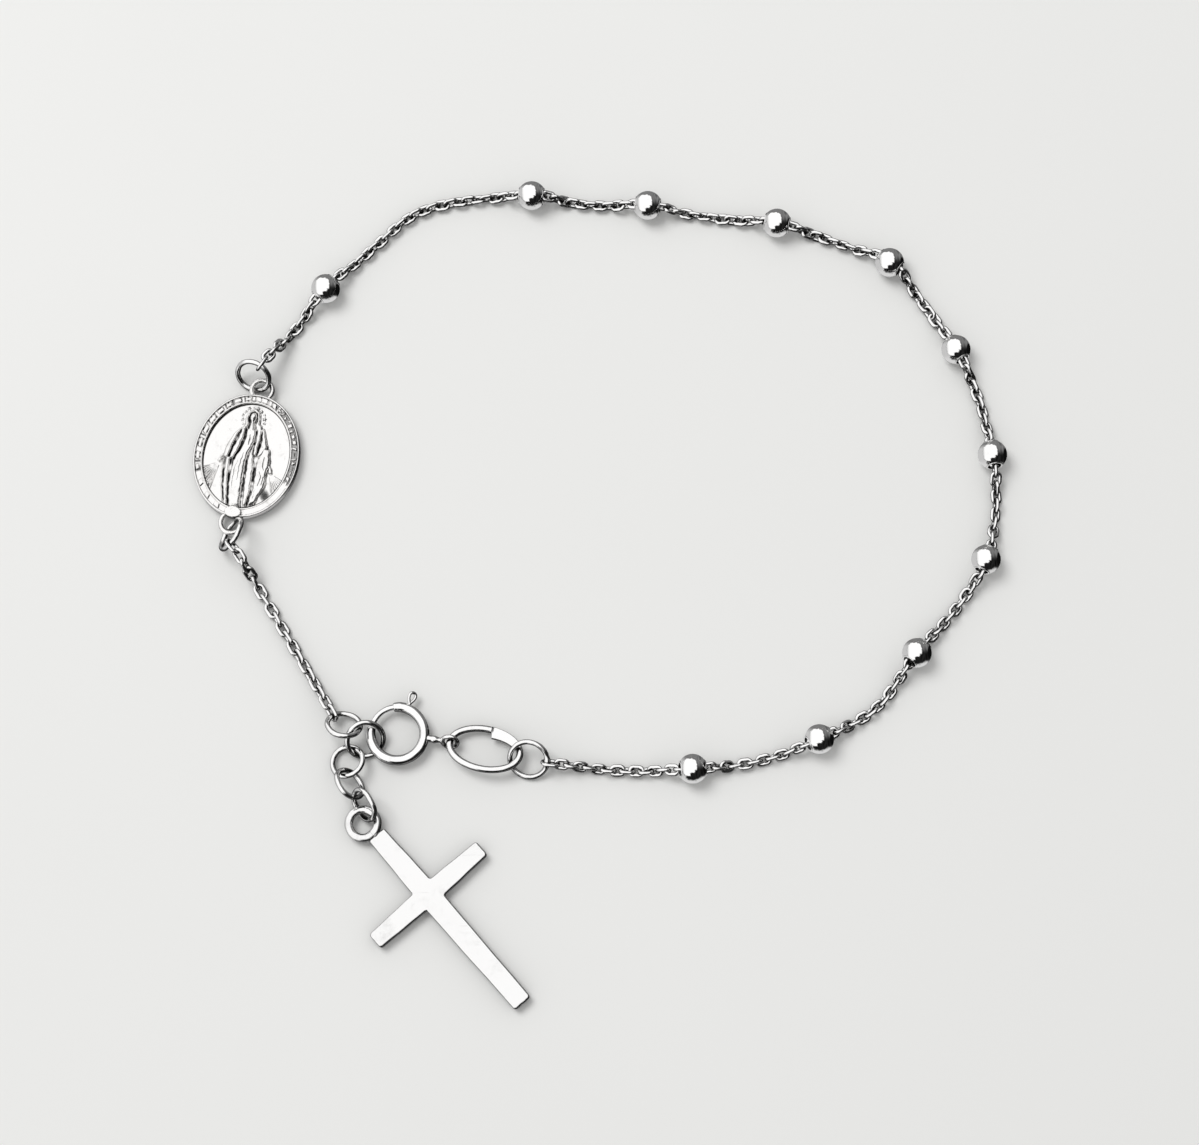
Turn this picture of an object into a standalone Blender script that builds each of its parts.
"""Silver rosary bracelet, lying open on a table.

Lengths are metres. +X is right, +Y is away from the viewer, +Z is up, and the table is z = 0.
The bracelet is one closed loop: clasp, tag link, beaded chain, medal, plain chain and connector ring.
The cross hangs from the connector ring on three small rings.
"""

import math

import bmesh
import bpy
from mathutils import Matrix, Vector

MM = 0.001

# The whole bracelet as it lies: places in plan are shares of half of these, from the middle of the loop.
LOOP_WIDTH = 70.0 * MM
LOOP_DEPTH = 72.0 * MM

# Clearances: between a link and the ring it holds, round the clasp's tongue, and under a soldered loop or
# the clasp for a jump ring's wire. SOLDER_BITE is how deep two soldered pieces run into each other.
HOOK_GAP = 0.06 * MM
BORE_GAP = 0.09 * MM
LOOP_LIFT = 0.08 * MM
CLASP_LIFT = 0.13 * MM
SOLDER_BITE = 0.08 * MM

# Beads, drilled through for the chain.
BEAD_DIAMETER = 2.5 * MM
BEAD_HOLE_GAP = 0.12 * MM
BEAD_SIDES = 16
BEAD_ARC_STEPS = 6

# Cable chain. The beaded stretch is a plain tube of the chain's own thickness with a real link at each end.
CHAIN_WIDTH = 0.9 * MM
CHAIN_WIRE = 0.27 * MM
CHAIN_PITCH = 0.92 * MM
CHAIN_STEP = 2.1 * MM
END_LINK_WIDTH = 1.24 * MM
END_LINK_PITCH = 1.15 * MM
LINK_SIDES = 10
LINK_WIRE_SIDES = 6
TUBE_BEVEL_STEPS = 2
ROUTE_STEPS = 12

# A chain comes down from a ring to the table within this distance.
CHAIN_SETTLE = 3.7 * MM

# Jump rings.
JUMP_WIRE = 0.4 * MM
START_RING_OUTER = 3.6 * MM
CONNECTOR_RING_OUTER = 3.5 * MM
END_RING_OUTER = 3.2 * MM
DROP_RING_OUTER = 3.1 * MM
MEDAL_RING_OUTER = 3.3 * MM
RING_SIDES = 16
RING_WIRE_SIDES = 6

# Medal: an oval plate with a raised rim. Its long axis points to MEDAL_HEADING.
MEDAL_PLACE = (-0.8714, 0.3139)
MEDAL_HEADING = 78.5
MEDAL_HEIGHT = 11.0 * MM
MEDAL_WIDTH = 9.1 * MM
MEDAL_FIELD = 0.75 * MM
MEDAL_RIM_WIDTH = 0.85 * MM
MEDAL_RIM_RISE = 0.3 * MM
MEDAL_EDGE_WIDTH = 0.22 * MM
MEDAL_RIDGE_WIDTH = 0.11 * MM
MEDAL_BEVEL = 0.09 * MM
MEDAL_SLOPE = 0.065 * MM
MEDAL_BAND_DEPTH = 0.14 * MM
MEDAL_RELIEF = 0.5 * MM
MEDAL_LEAVES = 30
MEDAL_LEAF_LENGTH = 0.72 * MM
MEDAL_LEAF_WIDTH = 0.34 * MM
MEDAL_LEAF_SLANT = 24.0
MEDAL_LOOP_OUTER = 2.2 * MM
MEDAL_LOOP_WIRE = 0.4 * MM
MEDAL_LOOP_SEAT = 0.5 * MM
MEDAL_SIDES = 48
MEDAL_BOSS_WIDTH = 1.55 * MM
MEDAL_BOSS_HEIGHT = 1.05 * MM
MEDAL_BOSS_RISE = 0.08 * MM
MEDAL_BOSS_SIDES = 16

# The figure on the medal. Places and sizes across and up are shares of half the medal's height, and a rise
# is a share of MEDAL_RELIEF. A row gives the robe's middle and half width at one height.
FIGURE_ROWS = [
    dict(up=-0.84, middle=0.05, half=0.25, rise=0.75),
    dict(up=-0.52, middle=0.035, half=0.335, rise=0.9),
    dict(up=-0.2, middle=0.02, half=0.385, rise=1.0),
    dict(up=0.08, middle=0.02, half=0.35, rise=1.0),
    dict(up=0.3, middle=0.01, half=0.235, rise=0.9),
    dict(up=0.42, middle=0.01, half=0.165, rise=0.8),
    dict(up=0.52, middle=-0.01, half=0.1, rise=0.7),
]

# The robe's folds. The place is a share of the row's half width.
FIGURE_FOLDS = [
    dict(place=-1.0, rise=0.15),
    dict(place=-0.86, rise=0.62),
    dict(place=-0.7, rise=0.4),
    dict(place=-0.54, rise=0.72),
    dict(place=-0.42, rise=0.3),
    dict(place=-0.28, rise=0.8),
    dict(place=-0.12, rise=0.66),
    dict(place=0.04, rise=0.9),
    dict(place=0.18, rise=0.7),
    dict(place=0.34, rise=0.3),
    dict(place=0.48, rise=0.74),
    dict(place=0.66, rise=0.42),
    dict(place=0.84, rise=0.64),
    dict(place=1.0, rise=0.15),
]

# One arm, from shoulder to hand, as (across, up, rise). The other is its mirror image. Its diameters are
# shares of half the medal's height.
SHOULDER = (0.1, 0.43, 0.1)
ELBOW = (0.28, 0.04, 0.25)
HAND = (0.38, -0.15, 0.1)
SHOULDER_DIAMETER = 0.09
ELBOW_DIAMETER = 0.11
SLEEVE_DIAMETER = 0.1
WRIST_DIAMETER = 0.06

# Rays that fan out from each hand: where they start, how many, their angles from straight down, and size.
RAY_START = (0.41, -0.24)
RAY_COUNT = 3
RAY_FIRST_ANGLE = 10.0
RAY_ANGLE_STEP = 22.0
RAY_WIDTH = 0.22 * MM
RAY_START_SHARE = 0.4
RAY_RISE = 0.3

# The veil, the face and the two hands, and dots round the head.
HEAD_PLACE = (-0.035, 0.645)
FIGURE_DOMES = [
    dict(across=-0.035, up=0.62, half_width=0.1, half_height=0.17, rise=0.85),
    dict(across=HEAD_PLACE[0], up=HEAD_PLACE[1], half_width=0.062, half_height=0.095, rise=1.15),
    dict(across=-0.38, up=-0.17, half_width=0.045, half_height=0.075, rise=0.7),
    dict(across=0.4, up=-0.15, half_width=0.045, half_height=0.075, rise=0.7),
]
STAR_DIAMETER = 0.34 * MM
STAR_REACH = 0.2
STAR_ANGLES = (-20.0, 20.0, 60.0, 120.0, 160.0, 200.0)

# Cross: two bars that narrow from the crossing to their ends.
CROSS_LENGTH = 18.7 * MM
CROSS_SPAN = 11.8 * MM
CROSS_CROSSING = 6.7 * MM
CROSS_THICKNESS = 1.0 * MM
CROSS_BAR_WIDTH = 1.95 * MM
CROSS_TOP_WIDTH = 1.65 * MM
CROSS_FOOT_WIDTH = 1.7 * MM
CROSS_ARM_WIDTH = 1.8 * MM
CROSS_ARM_END_WIDTH = 1.48 * MM
CROSS_CORNER = 0.25 * MM
CROSS_EDGE = 0.12 * MM
CROSS_HEADING = -48.6
CROSS_LOOP_OUTER = 3.05 * MM
CROSS_LOOP_WIRE = 0.62 * MM
CROSS_LOOP_OFFSET = 0.25 * MM
CROSS_SLACK = 0.535 * MM
CROSS_DROP_HEADING = -94.1

# Spring ring clasp. Angles run round its ring from +X towards +Y.
CLASP_PLACE = (-0.4886, -0.3583)
CLASP_OUTER = 5.4 * MM
CLASP_TUBE = 0.86 * MM
CLASP_TONGUE = 0.36 * MM
CLASP_MOUTH_START = 99.0
CLASP_MOUTH_END = 167.0
CLASP_TAB_ANGLE = 69.0
CLASP_TRAVEL = 55.0
CLASP_TAB_WIRE = 0.22 * MM
CLASP_TAB_OUTER = 0.94 * MM
CLASP_TAB_REACH = 0.5 * MM
CLASP_NECK_ANGLE = -9.0
CLASP_NECK_LENGTH = 0.95 * MM
CLASP_NECK_DIAMETER = 0.6 * MM
CLASP_LOOP_OUTER = 1.66 * MM
CLASP_LOOP_WIRE = 0.36 * MM
CLASP_LOOP_ROLL = 56.0
CLASP_STEP = 12.0
TONGUE_STEP = 9.6

# Oval tag link with a flattened plate on its far side.
TAG_LENGTH = 6.6 * MM
TAG_WIDTH = 4.1 * MM
TAG_WIRE = 0.58 * MM
TAG_HEADING = -11.7
TAG_TILT = 9.7
TAG_RISE = -95.8
TAG_LIFT = 0.04 * MM
TAG_PLATE_WIDTH = 1.05 * MM
TAG_PLATE_THICKNESS = 0.42 * MM
TAG_PLATE_START = 84.0
TAG_PLATE_END = 28.0
TAG_SIDES = 28

# How each ring lies: the heading from the piece that holds it, the slack left between the two wires,
# the tilt out of the level, the heading of its raised side, and how far it is lifted off the table.
RING_LAY = {
    "connector_ring": dict(heading=190.9, slack=0.42 * MM, tilt=34.8, rise=118.3, lift=0.01 * MM),
    "chain_end_ring": dict(heading=146.0, slack=0.4 * MM, tilt=41.0, rise=-104.0, lift=0.42 * MM),
    "drop_ring_1": dict(heading=231.0, slack=0.14 * MM, tilt=23.3, rise=-46.1, lift=0.16 * MM),
    "drop_ring_2": dict(heading=-81.4, slack=0.3 * MM, tilt=52.7, rise=-145.2, lift=0.3 * MM),
    "drop_ring_3": dict(heading=-55.4, slack=0.16 * MM, tilt=59.0, rise=31.3, lift=0.0),
    "medal_top_ring": dict(heading=122.2, slack=0.64 * MM, tilt=50.9, rise=66.3, lift=0.0),
    "medal_bottom_ring": dict(heading=-82.8, slack=0.75 * MM, tilt=60.8, rise=-26.6, lift=0.0),
    "chain_start_ring": dict(heading=-13.6, slack=0.3 * MM, tilt=32.0, rise=74.4, lift=0.03 * MM),
}

# Where a chain takes hold of a ring, as an angle round that ring.
START_HOLD = -10.0
TOP_HOLD = 50.0
BOTTOM_HOLD = -65.0
END_HOLD = 130.0

# The beaded chain's route in plan, from the clasp side to the medal. A bead sits on each point marked
# "bead", and its hole's near end is raised by the last number, in degrees.
ROUTE = [
    (0.054, -0.444, "chain", 0),
    (0.223, -0.442, "bead", 8),
    (0.38, -0.422, "chain", 0),
    (0.529, -0.372, "bead", 8),
    (0.671, -0.294, "chain", 0),
    (0.769, -0.167, "bead", 12),
    (0.869, -0.058, "chain", 0),
    (0.943, 0.058, "bead", 3),
    (0.974, 0.189, "chain", 0),
    (0.966, 0.314, "bead", 9),
    (0.94, 0.453, "chain", 0),
    (0.883, 0.575, "bead", 10),
    (0.809, 0.692, "chain", 0),
    (0.723, 0.794, "bead", 6),
    (0.586, 0.853, "chain", 0),
    (0.443, 0.894, "bead", 2),
    (0.283, 0.914, "chain", 0),
    (0.12, 0.939, "bead", 4),
    (-0.026, 0.947, "chain", 0),
    (-0.171, 0.964, "bead", 6),
    (-0.309, 0.961, "chain", 0),
    (-0.46, 0.925, "chain", 0),
    (-0.571, 0.833, "chain", 0),
    (-0.683, 0.728, "bead", 0),
    (-0.76, 0.628, "chain", 0),
]

# The silver of each kind of piece: how light and how rough it is.
FINISHES = {
    "bead_silver": dict(tone=0.9, roughness=0.08),
    "chain_silver": dict(tone=0.8, roughness=0.2),
    "ring_silver": dict(tone=0.88, roughness=0.14),
    "clasp_silver": dict(tone=0.9, roughness=0.12),
    "tag_silver": dict(tone=0.9, roughness=0.16),
    "medal_silver": dict(tone=0.86, roughness=0.22),
    "cross_silver": dict(tone=0.92, roughness=0.2),
}


def clear_scene():
    for obj in list(bpy.data.objects):
        bpy.data.objects.remove(obj, do_unlink=True)


def new_collection(name, hidden=False):
    collection = bpy.data.collections.new(name)
    bpy.context.scene.collection.children.link(collection)
    collection.hide_render = hidden
    return collection


def silver(name, tone, roughness):
    """Polished or worn sterling silver."""
    material = bpy.data.materials.new(name)
    material.use_nodes = True
    shader = material.node_tree.nodes["Principled BSDF"]
    shader.inputs["Base Color"].default_value = (tone, tone, tone * 0.98, 1.0)
    shader.inputs["Metallic"].default_value = 1.0
    shader.inputs["Roughness"].default_value = roughness
    return material


def in_plan(across, along):
    """A point on the table from its shares of half the loop's width and depth."""
    return Vector((across * LOOP_WIDTH / 2, along * LOOP_DEPTH / 2, 0.0))


def heading(degrees):
    """A level unit vector, measured from +X towards +Y."""
    angle = math.radians(degrees)
    return Vector((math.cos(angle), math.sin(angle), 0.0))


def tilted(centre, tilt, rise):
    """Places a flat piece at centre with its side towards the heading rise lifted by tilt degrees."""
    return Matrix.Translation(centre) @ Matrix.Rotation(math.radians(tilt), 4, heading(rise - 90.0))


def aimed(centre, forward, normal):
    """Places a piece with its X along forward and its Z as near to normal as it can be."""
    x = forward.normalized()
    y = normal.cross(x).normalized()
    z = x.cross(y)
    rotation = Matrix((x, y, z)).transposed().to_4x4()
    return Matrix.Translation(centre) @ rotation


class Ring:
    """A round of wire: its size, how it lies, and the points of it that other pieces hold."""

    def __init__(self, outer, wire, matrix):
        self.wire = wire
        self.radius = (outer - wire) / 2
        self.inner = outer / 2 - wire
        self.matrix = matrix
        self.centre = matrix.to_translation()

    def point(self, angle):
        """The centre of the wire at an angle round the ring."""
        return self.matrix @ (heading(angle) * self.radius)

    def along(self, angle):
        """The wire's direction at that angle."""
        return self.matrix.to_3x3() @ heading(angle + 90.0)


def laid_ring(place, outer, tilt, rise, lift):
    """A jump ring on the table at a place in plan, leaning by tilt and touching the table if lift is 0."""
    radius = (outer - JUMP_WIRE) / 2
    height = JUMP_WIRE / 2 + radius * math.sin(math.radians(tilt)) + lift
    return Ring(outer, JUMP_WIRE, tilted(Vector((place.x, place.y, height)), tilt, rise))


def hung_ring(name, holder_place, holder_inner, outer):
    """A jump ring that hangs in a holder, at the heading and slack of its row in RING_LAY."""
    lay = RING_LAY[name]
    reach = holder_inner + outer / 2 - JUMP_WIRE - lay["slack"]
    place = holder_place + heading(lay["heading"]) * reach
    return laid_ring(place, outer, lay["tilt"], lay["rise"], lay["lift"])


def smooth_curve(points, steps):
    """Points on a Catmull-Rom curve through the given points, steps for each span."""
    ends = [points[0] * 2 - points[1], *points, points[-1] * 2 - points[-2]]
    curve = []
    for before, start, end, after in zip(ends, ends[1:], ends[2:], ends[3:]):
        for step in range(steps):
            t = step / steps
            curve.append(
                0.5
                * (
                    2 * start
                    + (end - before) * t
                    + (2 * before - 5 * start + 4 * end - after) * t * t
                    + (3 * start - before - 3 * end + after) * t * t * t
                )
            )
    return [*curve, points[-1]]


def along_curve(curve, distance):
    """The point at a distance along a dense curve, and the direction there."""
    for start, end in zip(curve, curve[1:]):
        span = (end - start).length
        if distance <= span:
            return start.lerp(end, distance / span), (end - start).normalized()
        distance -= span
    return curve[-1], (curve[-1] - curve[-2]).normalized()


def curve_length(curve):
    return sum((end - start).length for start, end in zip(curve, curve[1:]))


def cleaned(mesh):
    """Welds a mesh's loose caps and turns its faces outwards."""
    shape = bmesh.new()
    shape.from_mesh(mesh)
    bmesh.ops.remove_doubles(shape, verts=shape.verts, dist=0.0005 * MM)
    bmesh.ops.recalc_face_normals(shape, faces=shape.faces)
    shape.to_mesh(mesh)
    shape.free()
    return mesh


def mesh_of(obj):
    """The object's evaluated mesh in world space, welded. The object is removed."""
    bpy.context.view_layer.update()
    graph = bpy.context.evaluated_depsgraph_get()
    mesh = bpy.data.meshes.new_from_object(obj.evaluated_get(graph))
    mesh.transform(obj.matrix_world)
    bpy.data.objects.remove(obj, do_unlink=True)
    return cleaned(mesh)


def curve_mesh(points, radius, bevel_steps, cyclic=False):
    """A round wire or tube along a list of points, as a welded mesh."""
    data = bpy.data.curves.new("wire", "CURVE")
    data.dimensions = "3D"
    data.bevel_depth = radius
    data.bevel_resolution = bevel_steps
    data.use_fill_caps = not cyclic
    spline = data.splines.new("POLY")
    spline.points.add(len(points) - 1)
    for slot, point in zip(spline.points, points):
        slot.co = (*point, 1.0)
    spline.use_cyclic_u = cyclic
    obj = bpy.data.objects.new("wire", data)
    bpy.context.scene.collection.objects.link(obj)
    return mesh_of(obj)


def flat_mesh(outline, thickness):
    """A flat outline in XY as a plate, centred on z = 0."""
    data = bpy.data.curves.new("outline", "CURVE")
    data.dimensions = "2D"
    data.fill_mode = "BOTH"
    data.extrude = thickness / 2
    spline = data.splines.new("POLY")
    spline.points.add(len(outline) - 1)
    for slot, point in zip(spline.points, outline):
        slot.co = (point[0], point[1], 0.0, 1.0)
    spline.use_cyclic_u = True
    obj = bpy.data.objects.new("outline", data)
    bpy.context.scene.collection.objects.link(obj)
    return mesh_of(obj)


def torus_mesh(radius, wire, sides, wire_sides):
    """A round of wire in XY. radius is that of the wire's centre line."""
    bpy.ops.mesh.primitive_torus_add(
        major_radius=radius,
        minor_radius=wire / 2,
        major_segments=sides,
        minor_segments=wire_sides,
    )
    return mesh_of(bpy.context.object)


def rod_mesh(start, end, start_diameter, end_diameter, sides=8):
    """A round rod between two points."""
    bpy.ops.mesh.primitive_cone_add(
        vertices=sides,
        radius1=start_diameter / 2,
        radius2=end_diameter / 2,
        depth=(end - start).length,
        location=(start + end) / 2,
        rotation=(end - start).to_track_quat("Z", "Y").to_euler(),
    )
    return mesh_of(bpy.context.object)


def link_mesh(length, width, wire):
    """A long link in XY: a round of wire whose two halves are drawn apart along X."""
    mesh = torus_mesh((width - wire) / 2, wire, LINK_SIDES, LINK_WIRE_SIDES)
    for vertex in mesh.vertices:
        vertex.co.x += math.copysign((length - width) / 2, vertex.co.x)
    return mesh


def merged(meshes):
    """One mesh from several that don't touch."""
    shape = bmesh.new()
    for mesh in meshes:
        shape.from_mesh(mesh)
    result = bpy.data.meshes.new("merged")
    shape.to_mesh(result)
    shape.free()
    return result


def moved(mesh, matrix):
    """A copy of a mesh, moved."""
    copy = mesh.copy()
    copy.transform(matrix)
    return copy


def combined(base, tool, operation):
    """The exact Boolean of two meshes."""
    first = bpy.data.objects.new("first", base)
    second = bpy.data.objects.new("second", tool)
    for obj in (first, second):
        bpy.context.scene.collection.objects.link(obj)
    modifier = first.modifiers.new("joint", "BOOLEAN")
    modifier.object = second
    modifier.operation = operation
    modifier.solver = "EXACT"
    result = mesh_of(first)
    bpy.data.objects.remove(second, do_unlink=True)
    return result


def fused(base, *others):
    for other in others:
        base = combined(base, other, "UNION")
    return base


def place(name, mesh, material, collection, matrix=None):
    """Adds a finished piece, shaded smooth over its shallow edges."""
    mesh.name = name
    mesh.materials.clear()
    mesh.materials.append(material)
    mesh.shade_smooth()
    mesh.set_sharp_from_angle(angle=math.radians(50.0))
    obj = bpy.data.objects.new(name, mesh)
    if matrix is not None:
        obj.matrix_world = matrix
    collection.objects.link(obj)
    return obj


def ring_piece(name, ring, material, collection):
    mesh = torus_mesh(ring.radius, ring.wire, RING_SIDES, RING_WIRE_SIDES)
    return place(name, mesh, material, collection, ring.matrix)


def arc(radius, start, end, step):
    """Points on an arc round the origin in XY, angles in degrees."""
    count = max(2, math.ceil(abs(end - start) / step))
    return [heading(start + (end - start) * i / count) * radius for i in range(count + 1)]


def clasp_body_mesh():
    """The clasp's bored and slotted ring, with its neck and end loop, in its own frame."""
    radius = (CLASP_OUTER - CLASP_TUBE) / 2
    bore = CLASP_TONGUE / 2 + BORE_GAP
    slot = CLASP_TAB_WIRE + 2 * BORE_GAP
    spare = math.degrees(slot / radius)
    body = curve_mesh(
        arc(radius, CLASP_MOUTH_END, CLASP_MOUTH_START + 360.0, CLASP_STEP), CLASP_TUBE / 2, 3
    )
    low = CLASP_TAB_ANGLE - CLASP_TRAVEL
    bore_path = arc(radius, low - 2 * spare, CLASP_MOUTH_START + spare, CLASP_STEP)
    body = combined(body, curve_mesh(bore_path, bore, 2), "DIFFERENCE")
    outside = arc(radius + CLASP_TUBE, low - spare, CLASP_TAB_ANGLE + spare, CLASP_STEP)
    inside = arc(radius, CLASP_TAB_ANGLE + spare, low - spare, CLASP_STEP)
    body = combined(body, flat_mesh(outside + inside, slot), "DIFFERENCE")
    forward = heading(CLASP_NECK_ANGLE)
    neck_start = forward * (CLASP_OUTER / 2 - CLASP_TUBE / 4)
    neck_end = forward * (CLASP_OUTER / 2 + CLASP_NECK_LENGTH + CLASP_LOOP_WIRE / 2)
    neck = rod_mesh(neck_start, neck_end, CLASP_NECK_DIAMETER, CLASP_LOOP_WIRE)
    loop = torus_mesh(
        (CLASP_LOOP_OUTER - CLASP_LOOP_WIRE) / 2, CLASP_LOOP_WIRE, RING_SIDES, RING_WIRE_SIDES
    )
    loop.transform(clasp_loop_matrix())
    return fused(body, neck, loop)


def clasp_loop_matrix():
    """The end loop's place in the clasp's own frame, rolled about the neck."""
    forward = heading(CLASP_NECK_ANGLE)
    centre = forward * (CLASP_OUTER / 2 + CLASP_NECK_LENGTH + CLASP_LOOP_OUTER / 2)
    normal = Matrix.Rotation(math.radians(CLASP_LOOP_ROLL), 3, forward) @ Vector((0.0, 0.0, 1.0))
    return aimed(centre, forward, normal)


def clasp_trigger_mesh():
    """The tongue that closes the clasp, with its thumb tab, in the clasp's own frame."""
    radius = (CLASP_OUTER - CLASP_TUBE) / 2
    tip = CLASP_MOUTH_END - math.degrees(2 * HOOK_GAP / radius)
    root = CLASP_TAB_ANGLE - math.degrees(CLASP_TONGUE / radius)
    tongue = curve_mesh(arc(radius, root, tip, TONGUE_STEP), CLASP_TONGUE / 2, 2)
    outward = heading(CLASP_TAB_ANGLE)
    post_end = outward * (CLASP_OUTER / 2 + CLASP_TAB_REACH - CLASP_TAB_WIRE / 2)
    post = rod_mesh(outward * radius, post_end, CLASP_TAB_WIRE, CLASP_TAB_WIRE)
    eye_radius = (CLASP_TAB_OUTER - CLASP_TAB_WIRE) / 2
    eye = torus_mesh(eye_radius, CLASP_TAB_WIRE, LINK_SIDES, LINK_WIRE_SIDES)
    eye_centre = outward * (CLASP_OUTER / 2 + CLASP_TAB_REACH + CLASP_TAB_OUTER / 2 - CLASP_TAB_WIRE)
    eye.transform(Matrix.Translation(eye_centre))
    return fused(tongue, post, eye)


def oval_point(length, width, degrees):
    angle = math.radians(degrees)
    return Vector((length / 2 * math.cos(angle), width / 2 * math.sin(angle), 0.0))


def tag_link_mesh():
    """An oval of wire with a flat plate hammered into its far side, in its own frame."""
    turn = 360.0 / TAG_SIDES
    line = [
        oval_point(TAG_LENGTH - TAG_WIRE, TAG_WIDTH - TAG_WIRE, turn * (i + 0.5))
        for i in range(TAG_SIDES)
    ]
    oval = curve_mesh(line, TAG_WIRE / 2, 2, cyclic=True)
    span = TAG_PLATE_END - TAG_PLATE_START
    shares = [0.0, 0.2, 0.4, 0.6, 0.8, 1.0]
    outer = [oval_point(TAG_LENGTH, TAG_WIDTH, TAG_PLATE_START + span * s) for s in shares]
    inner = []
    for share in reversed(shares):
        depth = TAG_PLATE_WIDTH + (TAG_WIRE - TAG_PLATE_WIDTH) * share
        angle = TAG_PLATE_START + span * share
        inner.append(oval_point(TAG_LENGTH - 2 * depth, TAG_WIDTH - 2 * depth, angle))
    plate = flat_mesh(outer + inner, TAG_PLATE_THICKNESS)
    return fused(oval, plate)


def corner_arc(corner, before, after, radius, steps=2):
    """Rounds one corner of an outline, as a short arc of steps spans."""
    a = (before - corner).normalized()
    b = (after - corner).normalized()
    half = a.angle(b) / 2
    centre = corner + (a + b).normalized() * (radius / math.sin(half))
    start = corner + a * (radius / math.tan(half)) - centre
    end = corner + b * (radius / math.tan(half)) - centre
    return [centre + start.lerp(end, i / steps).normalized() * radius for i in range(steps + 1)]


def cross_mesh():
    """The cross in its own frame: +X runs from its loop to its foot, and its middle is at the crossing."""
    top = -CROSS_CROSSING
    foot = CROSS_LENGTH - CROSS_CROSSING
    bar = CROSS_BAR_WIDTH / 2
    arm = CROSS_ARM_WIDTH / 2
    half_span = CROSS_SPAN / 2
    quarter = [
        [(foot, CROSS_FOOT_WIDTH / 2, True), (arm, bar, False), (CROSS_ARM_END_WIDTH / 2, half_span, True)],
        [(-CROSS_ARM_END_WIDTH / 2, half_span, True), (-arm, bar, False), (top, CROSS_TOP_WIDTH / 2, True)],
    ]
    upper = [corner for row in quarter for corner in row]
    lower = [(x, -y, rounded) for x, y, rounded in reversed(upper)]
    corners = upper + lower
    points = [Vector((x, y)) for x, y, _ in corners]
    outline = []
    for i, (_, _, rounded) in enumerate(corners):
        before = points[i - 1]
        after = points[(i + 1) % len(points)]
        if rounded:
            outline += corner_arc(points[i], before, after, CROSS_CORNER)
        else:
            outline.append(points[i])
    plate = flat_mesh(outline, CROSS_THICKNESS)
    obj = bpy.data.objects.new("plate", plate)
    bpy.context.scene.collection.objects.link(obj)
    edge = obj.modifiers.new("edge", "BEVEL")
    edge.width = CROSS_EDGE
    edge.segments = 1
    edge.limit_method = "ANGLE"
    edge.angle_limit = math.radians(60.0)
    plate = mesh_of(obj)
    plate.transform(Matrix.Translation((0.0, 0.0, CROSS_THICKNESS / 2)))
    loop = torus_mesh(
        (CROSS_LOOP_OUTER - CROSS_LOOP_WIRE) / 2, CROSS_LOOP_WIRE, RING_SIDES, RING_WIRE_SIDES
    )
    loop.transform(Matrix.Translation(cross_loop_place()))
    return fused(plate, loop)


def cross_loop_place():
    """The centre of the cross's loop in the cross's own frame. A ring passes under its wire."""
    back = CROSS_CROSSING + CROSS_LOOP_OUTER / 2 - SOLDER_BITE
    height = JUMP_WIRE + LOOP_LIFT + CROSS_LOOP_WIRE / 2
    return Vector((-back, -CROSS_LOOP_OFFSET, height))


def smooth_step(low, high, value):
    t = min(1.0, max(0.0, (value - low) / (high - low)))
    return t * t * (3.0 - 2.0 * t)


def lofted(sections):
    """A closed body through sections of one count, with a wall between neighbours and a cap at each end."""
    shape = bmesh.new()
    rings = [[shape.verts.new(point) for point in section] for section in sections]
    for low, high in zip(rings, rings[1:]):
        for i, corner in enumerate(low):
            shape.faces.new((low[i - 1], corner, high[i], high[i - 1]))
    shape.faces.new(rings[0])
    shape.faces.new(rings[-1])
    bmesh.ops.recalc_face_normals(shape, faces=shape.faces)
    mesh = bpy.data.meshes.new("loft")
    shape.to_mesh(mesh)
    shape.free()
    return mesh


def oval_ring(centre, across, up, height, sides):
    """The points of a level oval of the given half width and half height."""
    turn = 2 * math.pi / sides
    return [
        Vector((centre.x + across * math.cos(turn * i), centre.y + up * math.sin(turn * i), height))
        for i in range(sides)
    ]


def medal_oval(inset, height):
    """The medal's outline drawn in by inset, at a height."""
    across = MEDAL_WIDTH / 2 - inset
    up = MEDAL_HEIGHT / 2 - inset
    return oval_ring(Vector((0.0, 0.0)), across, up, height, MEDAL_SIDES)


def medal_plate_mesh():
    """The oval plate: a rim between two raised edges round a sunk field, on a flat back."""
    top = MEDAL_FIELD + MEDAL_RIM_RISE
    band = top - MEDAL_BAND_DEPTH
    band_start, band_end = medal_band()
    return lofted(
        [
            medal_oval(MEDAL_BEVEL, 0.0),
            medal_oval(0.0, MEDAL_BEVEL),
            medal_oval(0.0, top - MEDAL_BEVEL),
            medal_oval(MEDAL_BEVEL, top),
            medal_oval(MEDAL_EDGE_WIDTH, top),
            medal_oval(band_start, band),
            medal_oval(band_end, band),
            medal_oval(band_end + MEDAL_SLOPE, top),
            medal_oval(MEDAL_RIM_WIDTH - MEDAL_SLOPE, top),
            medal_oval(MEDAL_RIM_WIDTH, MEDAL_FIELD),
        ]
    )


def medal_band():
    """How far in from the medal's outline its rim's sunk band starts and ends."""
    start = MEDAL_EDGE_WIDTH + MEDAL_SLOPE
    end = MEDAL_RIM_WIDTH - MEDAL_RIDGE_WIDTH - 2 * MEDAL_SLOPE
    return start, end


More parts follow.
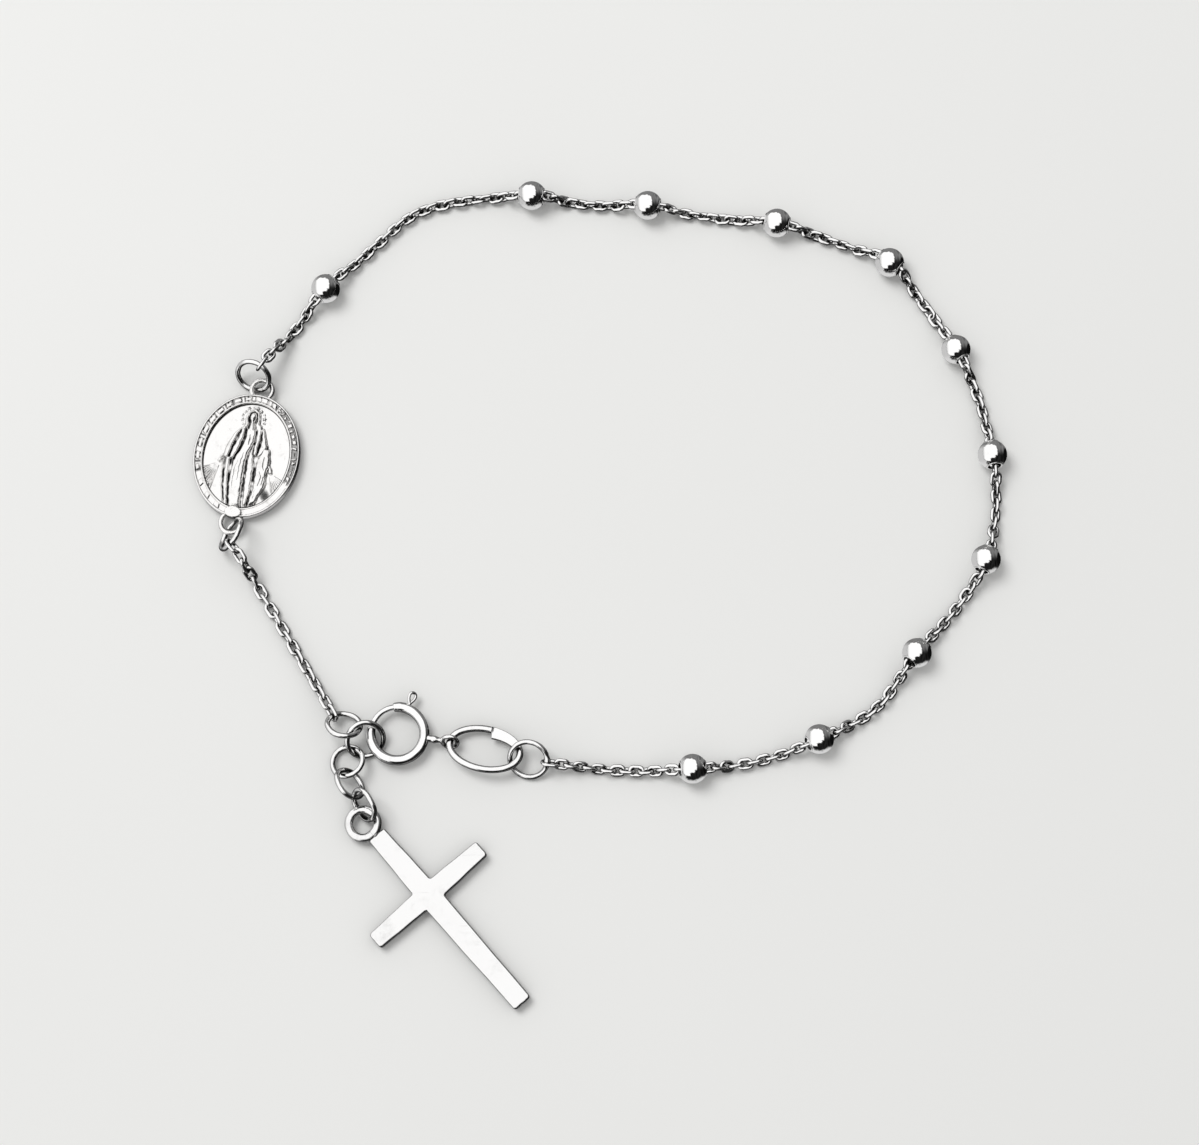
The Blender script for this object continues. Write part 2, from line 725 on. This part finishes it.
def medal_leaves_mesh():
    """A wreath of low slanted leaves round the rim's band."""
    middle = sum(medal_band()) / 2
    leaves = []
    for i in range(MEDAL_LEAVES):
        angle = 2 * math.pi * (i + 0.5) / MEDAL_LEAVES
        across = (MEDAL_WIDTH / 2 - middle) * math.cos(angle)
        up = (MEDAL_HEIGHT / 2 - middle) * math.sin(angle)
        bpy.ops.mesh.primitive_ico_sphere_add(subdivisions=1, radius=1.0)
        leaf = mesh_of(bpy.context.object)
        slant = math.degrees(math.atan2(up, across)) + 90.0 + MEDAL_LEAF_SLANT
        turn = Matrix.Rotation(math.radians(slant), 4, "Z")
        size = Matrix.Diagonal((MEDAL_LEAF_LENGTH / 2, MEDAL_LEAF_WIDTH / 2, MEDAL_BAND_DEPTH, 1.0))
        height = MEDAL_FIELD + MEDAL_RIM_RISE - MEDAL_BAND_DEPTH
        leaf.transform(Matrix.Translation((across, up, height)) @ turn @ size)
        leaves.append(leaf)
    return merged(leaves)


def figure_mesh():
    """The robed figure: long folds lofted from foot to neck, two lowered arms, and a veiled head."""
    unit = MEDAL_HEIGHT / 2
    sections = []
    for row in FIGURE_ROWS:
        cloth = [
            Vector(
                (
                    (row["middle"] + fold["place"] * row["half"]) * unit,
                    row["up"] * unit,
                    MEDAL_FIELD + MEDAL_RELIEF * row["rise"] * fold["rise"],
                )
            )
            for fold in FIGURE_FOLDS
        ]
        floor = MEDAL_FIELD - MEDAL_RIM_RISE
        left = Vector((cloth[0].x, cloth[0].y, floor))
        right = Vector((cloth[-1].x, cloth[-1].y, floor))
        sections.append([left, *cloth, right])
    body = lofted(sections)
    for dome in FIGURE_DOMES:
        body = fused(body, dome_mesh(**dome))
    for side in (-1, 1):
        shoulder, elbow, hand = (
            relief_point(side * across, up, rise) for across, up, rise in (SHOULDER, ELBOW, HAND)
        )
        upper = rod_mesh(shoulder, elbow, SHOULDER_DIAMETER * unit, ELBOW_DIAMETER * unit)
        lower_start = elbow + (shoulder - elbow).normalized() * SOLDER_BITE
        lower = rod_mesh(lower_start, hand, SLEEVE_DIAMETER * unit, WRIST_DIAMETER * unit)
        body = fused(body, upper, lower)
    return body


def relief_point(across, up, rise):
    """A point over the field: its place in shares of half the height, its rise as one of the relief."""
    unit = MEDAL_HEIGHT / 2
    return Vector((across * unit, up * unit, MEDAL_FIELD + MEDAL_RELIEF * rise))


def dome_mesh(across, up, half_width, half_height, rise):
    """A low dome on the field, its place and size as shares of half the medal's height."""
    unit = MEDAL_HEIGHT / 2
    bpy.ops.mesh.primitive_uv_sphere_add(segments=12, ring_count=6, radius=1.0)
    dome = mesh_of(bpy.context.object)
    size = Matrix.Diagonal((half_width * unit, half_height * unit, MEDAL_RELIEF * rise, 1.0))
    dome.transform(Matrix.Translation(relief_point(across, up, 0.0)) @ size)
    return dome


def way_to_rim(start, way):
    """How far it is from a point on the field to the rim's inner edge."""
    across = MEDAL_WIDTH / 2 - MEDAL_RIM_WIDTH
    up = MEDAL_HEIGHT / 2 - MEDAL_RIM_WIDTH
    a = (way.x / across) ** 2 + (way.y / up) ** 2
    b = start.x * way.x / across**2 + start.y * way.y / up**2
    c = (start.x / across) ** 2 + (start.y / up) ** 2 - 1.0
    return (math.sqrt(b * b - a * c) - b) / a


def rays_mesh():
    """Thin straight rays from each hand down to the rim, as low ridges on the field."""
    half = RAY_WIDTH / 2
    rays = []
    for side in (-1, 1):
        start = relief_point(side * RAY_START[0], RAY_START[1], 0.0)
        for number in range(RAY_COUNT):
            way = heading(-90.0 + side * (RAY_FIRST_ANGLE + RAY_ANGLE_STEP * number))
            end = start + way * (way_to_rim(start, way) + MEDAL_EDGE_WIDTH / 2)
            across = Vector((-way.y, way.x, 0.0)) * half
            low = Vector((0.0, 0.0, -half))
            high = Vector((0.0, 0.0, MEDAL_RELIEF * RAY_RISE))
            narrow = across * RAY_START_SHARE
            near = [start + low - narrow, start + high, start + low + narrow]
            far = [end + low - across, end + high, end + low + across]
            rays.append(lofted([near, far]))
    return rays


def stars_mesh():
    """A few small dots round the head."""
    stars = []
    for angle in STAR_ANGLES:
        way = heading(angle)
        across = HEAD_PLACE[0] + way.x * STAR_REACH
        up = HEAD_PLACE[1] + way.y * STAR_REACH
        bpy.ops.mesh.primitive_ico_sphere_add(subdivisions=1, radius=STAR_DIAMETER / 2)
        star = mesh_of(bpy.context.object)
        star.transform(Matrix.Translation(relief_point(across, up, 0.0)))
        stars.append(star)
    return merged(stars)


def boss_mesh():
    """A small bare oval boss on the rim at the medal's foot."""
    centre = Vector((0.0, -(MEDAL_HEIGHT - MEDAL_RIM_WIDTH) / 2))
    top = MEDAL_FIELD + MEDAL_RIM_RISE + MEDAL_BOSS_RISE
    bevel = MEDAL_BOSS_RISE / 2
    across = MEDAL_BOSS_WIDTH / 2
    up = MEDAL_BOSS_HEIGHT / 2
    return lofted(
        [
            oval_ring(centre, across, up, MEDAL_FIELD / 2, MEDAL_BOSS_SIDES),
            oval_ring(centre, across, up, top - bevel, MEDAL_BOSS_SIDES),
            oval_ring(centre, across - bevel, up - bevel, top, MEDAL_BOSS_SIDES),
        ]
    )


def medal_loop_place(end):
    """The centre of a medal loop in the medal's own frame, which has its up along +Y. end is 1 or -1."""
    height = JUMP_WIRE + LOOP_LIFT + MEDAL_LOOP_WIRE / 2
    return Vector((0.0, end * (MEDAL_HEIGHT / 2 + MEDAL_LOOP_SEAT), height))


def medal_mesh():
    """The whole medal in its own frame: plate, wreath, figure, rays, a bare boss and two loops."""
    relief = [medal_leaves_mesh(), stars_mesh(), *rays_mesh(), figure_mesh(), boss_mesh()]
    plate = fused(medal_plate_mesh(), *relief)
    radius = (MEDAL_LOOP_OUTER - MEDAL_LOOP_WIRE) / 2
    for end in (1, -1):
        loop = torus_mesh(radius, MEDAL_LOOP_WIRE, RING_SIDES, RING_WIRE_SIDES)
        loop.transform(Matrix.Translation(medal_loop_place(end)))
        plate = fused(plate, loop)
    return plate


def end_link(ring, hold, toward):
    """The link that takes hold of a ring: its place, and where the next link crosses its far end."""
    grip = ring.point(hold)
    wire_way = ring.along(hold)
    forward = toward - grip
    forward -= wire_way * forward.dot(wire_way)
    forward.normalize()
    half = (END_LINK_PITCH + CHAIN_WIRE - SOLDER_BITE) / 2
    centre = grip + forward * (half - CHAIN_WIRE / 2 - ring.wire / 2 - HOOK_GAP)
    return aimed(centre, forward, wire_way), centre + forward * (END_LINK_PITCH / 2)


def rolled_normal(direction, roll):
    """The normal of a link that runs along direction, rolled from the level by roll degrees."""
    side = Vector((0.0, 0.0, 1.0)).cross(direction).normalized()
    level = direction.cross(side)
    return Matrix.Rotation(math.radians(roll), 3, direction) @ level


def roll_of(direction, normal):
    """The roll that rolled_normal needs to give this normal."""
    side = Vector((0.0, 0.0, 1.0)).cross(direction).normalized()
    level = direction.cross(side)
    return math.degrees(math.atan2(-normal.dot(side), normal.dot(level)))


def settled_line(first, last, floor):
    """A straight route in plan that comes down from both of its ends to the height floor."""
    points = []
    for step in range(2 * ROUTE_STEPS + 1):
        point = first.lerp(last, step / (2 * ROUTE_STEPS))
        near_first = 1.0 - smooth_step(0.0, CHAIN_SETTLE, (point - first).to_2d().length)
        near_last = 1.0 - smooth_step(0.0, CHAIN_SETTLE, (point - last).to_2d().length)
        point.z = floor + (first.z - floor) * near_first + (last.z - floor) * near_last
        points.append(point)
    return smooth_curve(points, 3)


def plain_chain_mesh(first_ring, last_ring):
    """Interlocking links between two rings, each turned a quarter from the last, joined into one body."""
    first_grip = first_ring.point(END_HOLD)
    last_grip = last_ring.point(BOTTOM_HOLD)
    start_matrix, start = end_link(first_ring, END_HOLD, last_grip)
    end_matrix, end = end_link(last_ring, BOTTOM_HOLD, first_grip)
    line = settled_line(start, end, CHAIN_WIDTH / 2 + HOOK_GAP)
    length = curve_length(line)
    count = max(3, round(length / CHAIN_PITCH))
    pitch = length / count
    _, first_way = along_curve(line, 0.0)
    _, last_way = along_curve(line, length)
    start_roll = roll_of(first_way, start_matrix.to_3x3() @ Vector((0.0, 0.0, 1.0)))
    end_roll = roll_of(last_way, end_matrix.to_3x3() @ Vector((0.0, 0.0, 1.0)))
    twist = (end_roll - start_roll - 90.0 * (count + 1) + 90.0) % 180.0 - 90.0
    link = link_mesh(pitch + 2 * CHAIN_WIRE - SOLDER_BITE, CHAIN_WIDTH, CHAIN_WIRE)
    wide = link_mesh(END_LINK_PITCH + 2 * CHAIN_WIRE - SOLDER_BITE, END_LINK_WIDTH, CHAIN_WIRE)
    links = [moved(wide, start_matrix)]
    for i in range(count):
        centre, way = along_curve(line, pitch * (i + 0.5))
        roll = start_roll + (90.0 + twist / (count + 1)) * (i + 1)
        links.append(moved(link, aimed(centre, way, rolled_normal(way, roll))))
    links.append(moved(wide, end_matrix))
    return combined(merged(links[0::2]), merged(links[1::2]), "UNION")


def beaded_route(first_ring, last_ring):
    """The points of the beaded chain, and the place and direction of each bead on it."""
    height = {"chain": CHAIN_WIDTH / 2, "bead": BEAD_DIAMETER / 2}
    marks = []
    for across, along, kind, _ in ROUTE:
        mark = in_plan(across, along)
        mark.z = height[kind]
        marks.append(mark)
    start_matrix, start = end_link(first_ring, START_HOLD, marks[0])
    end_matrix, end = end_link(last_ring, TOP_HOLD, marks[-1])
    plan = smooth_curve([start, *marks, end], ROUTE_STEPS)
    beads = []
    for number, (_, _, kind, lean) in enumerate(ROUTE, 1):
        if kind == "bead":
            index = ROUTE_STEPS * number
            way = plan[index + 1] - plan[index - 1]
            way.z = -math.tan(math.radians(lean)) * way.to_2d().length
            beads.append((plan[index].copy(), way.normalized()))
    return plan, beads, start_matrix, end_matrix


def chain_points(plan, beads):
    """Points a step apart from end to end, straight through each bead and low between the beads."""
    half = BEAD_DIAMETER / 2
    marks = [plan[0], *[centre for centre, _ in beads], plan[-1]]
    starts = [plan[0], *[centre + way * half for centre, way in beads]]
    ends = [*[centre - way * half for centre, way in beads], plan[-1]]
    points = []
    for before, after, start, end in zip(marks, marks[1:], starts, ends):
        stretch = plan[plan.index(before) : plan.index(after)]
        between = [p for p in stretch if min((p - before).length, (p - after).length) > 2 * half]
        span = smooth_curve([start, *between, end], 4)
        length = curve_length(span)
        count = max(2, round(length / CHAIN_STEP))
        for step in range(count + 1):
            point, _ = along_curve(span, length * step / count)
            if 0 < step < count:
                point.z = CHAIN_WIDTH / 2
            points.append(point)
    return points


def beaded_chain_mesh(points, start_matrix, end_matrix):
    tube = curve_mesh(points, CHAIN_WIDTH / 2, TUBE_BEVEL_STEPS)
    wide = link_mesh(END_LINK_PITCH + 2 * CHAIN_WIRE - SOLDER_BITE, END_LINK_WIDTH, CHAIN_WIRE)
    return fused(tube, moved(wide, start_matrix), moved(wide, end_matrix))


def bead_object(name, centre, way, material, collection):
    """A drilled bead: half its outline and the wall of its hole, turned about the hole."""
    radius = BEAD_DIAMETER / 2
    hole = CHAIN_WIDTH / 2 + BEAD_HOLE_GAP
    edge = math.acos(hole / radius)
    profile = []
    for step in range(BEAD_ARC_STEPS + 1):
        angle = edge - 2 * edge * step / BEAD_ARC_STEPS
        profile.append((radius * math.cos(angle), 0.0, radius * math.sin(angle)))
    count = len(profile)
    mesh = bpy.data.meshes.new(name)
    mesh.from_pydata(profile, [(i, (i + 1) % count) for i in range(count)], [])
    obj = place(name, mesh, material, collection)
    turn = obj.modifiers.new("turn", "SCREW")
    turn.angle = 2 * math.pi
    turn.steps = BEAD_SIDES
    turn.render_steps = BEAD_SIDES
    turn.use_smooth_shade = True
    turn.use_merge_vertices = True
    turn.merge_threshold = 0.001 * MM
    obj.matrix_world = Matrix.Translation(centre) @ way.to_track_quat("Z", "Y").to_matrix().to_4x4()
    return obj


def build():
    clear_scene()
    bracelet = new_collection("rosary_bracelet")
    finish = {name: silver(name, **look) for name, look in FINISHES.items()}

    clasp_place = in_plan(*CLASP_PLACE)
    clasp_height = Vector((0.0, 0.0, JUMP_WIRE + CLASP_LIFT + CLASP_TUBE / 2))
    clasp_matrix = Matrix.Translation(clasp_place + clasp_height)
    place("clasp_body", clasp_body_mesh(), finish["clasp_silver"], bracelet, clasp_matrix)
    place("clasp_trigger", clasp_trigger_mesh(), finish["clasp_silver"], bracelet, clasp_matrix)

    clasp_inner = CLASP_OUTER / 2 - CLASP_TUBE
    connector = hung_ring("connector_ring", clasp_place, clasp_inner, CONNECTOR_RING_OUTER)
    chain_end = hung_ring("chain_end_ring", connector.centre, connector.inner, END_RING_OUTER)
    drops = [connector]
    for number in (1, 2, 3):
        holder = drops[-1]
        drops.append(hung_ring(f"drop_ring_{number}", holder.centre, holder.inner, DROP_RING_OUTER))
    ring_piece("connector_ring", connector, finish["ring_silver"], bracelet)
    ring_piece("chain_end_ring", chain_end, finish["ring_silver"], bracelet)
    for number in (1, 2, 3):
        ring_piece(f"drop_ring_{number}", drops[number], finish["ring_silver"], bracelet)

    cross_reach = drops[3].inner + CROSS_LOOP_OUTER / 2 - CROSS_LOOP_WIRE - CROSS_SLACK
    loop_place = drops[3].centre + heading(CROSS_DROP_HEADING) * cross_reach
    cross_turn = Matrix.Rotation(math.radians(CROSS_HEADING), 4, "Z")
    loop_offset = cross_turn @ cross_loop_place()
    cross_place = Matrix.Translation((loop_place.x - loop_offset.x, loop_place.y - loop_offset.y, 0.0))
    place("cross", cross_mesh(), finish["cross_silver"], bracelet, cross_place @ cross_turn)

    medal_turn = Matrix.Rotation(math.radians(MEDAL_HEADING - 90.0), 4, "Z")
    medal_matrix = Matrix.Translation(in_plan(*MEDAL_PLACE)) @ medal_turn
    place("medal", medal_mesh(), finish["medal_silver"], bracelet, medal_matrix)
    loop_inner = MEDAL_LOOP_OUTER / 2 - MEDAL_LOOP_WIRE
    top_loop = medal_matrix @ medal_loop_place(1)
    bottom_loop = medal_matrix @ medal_loop_place(-1)
    top = hung_ring("medal_top_ring", top_loop, loop_inner, MEDAL_RING_OUTER)
    bottom = hung_ring("medal_bottom_ring", bottom_loop, loop_inner, MEDAL_RING_OUTER)
    ring_piece("medal_top_ring", top, finish["ring_silver"], bracelet)
    ring_piece("medal_bottom_ring", bottom, finish["ring_silver"], bracelet)

    clasp_loop = (clasp_matrix @ clasp_loop_matrix()).to_translation()
    tag_reach = TAG_LENGTH / 2 - TAG_WIRE / 2
    tag_centre = clasp_loop + heading(TAG_HEADING) * tag_reach
    tag_centre.z += TAG_LIFT
    tag_turn = Matrix.Rotation(math.radians(TAG_HEADING), 4, "Z")
    tag_matrix = tilted(tag_centre, TAG_TILT, TAG_RISE) @ tag_turn
    place("tag_link", tag_link_mesh(), finish["tag_silver"], bracelet, tag_matrix)
    start = hung_ring("chain_start_ring", tag_centre, TAG_LENGTH / 2 - TAG_WIRE, START_RING_OUTER)
    ring_piece("chain_start_ring", start, finish["ring_silver"], bracelet)

    plan, beads, start_matrix, end_matrix = beaded_route(start, top)
    points = chain_points(plan, beads)
    beaded_chain = beaded_chain_mesh(points, start_matrix, end_matrix)
    place("beaded_chain", beaded_chain, finish["chain_silver"], bracelet)
    for number, (centre, way) in enumerate(beads, 1):
        bead_object(f"bead_{number:02d}", centre, way, finish["bead_silver"], bracelet)
    place("plain_chain", plain_chain_mesh(chain_end, bottom), finish["chain_silver"], bracelet)


build()
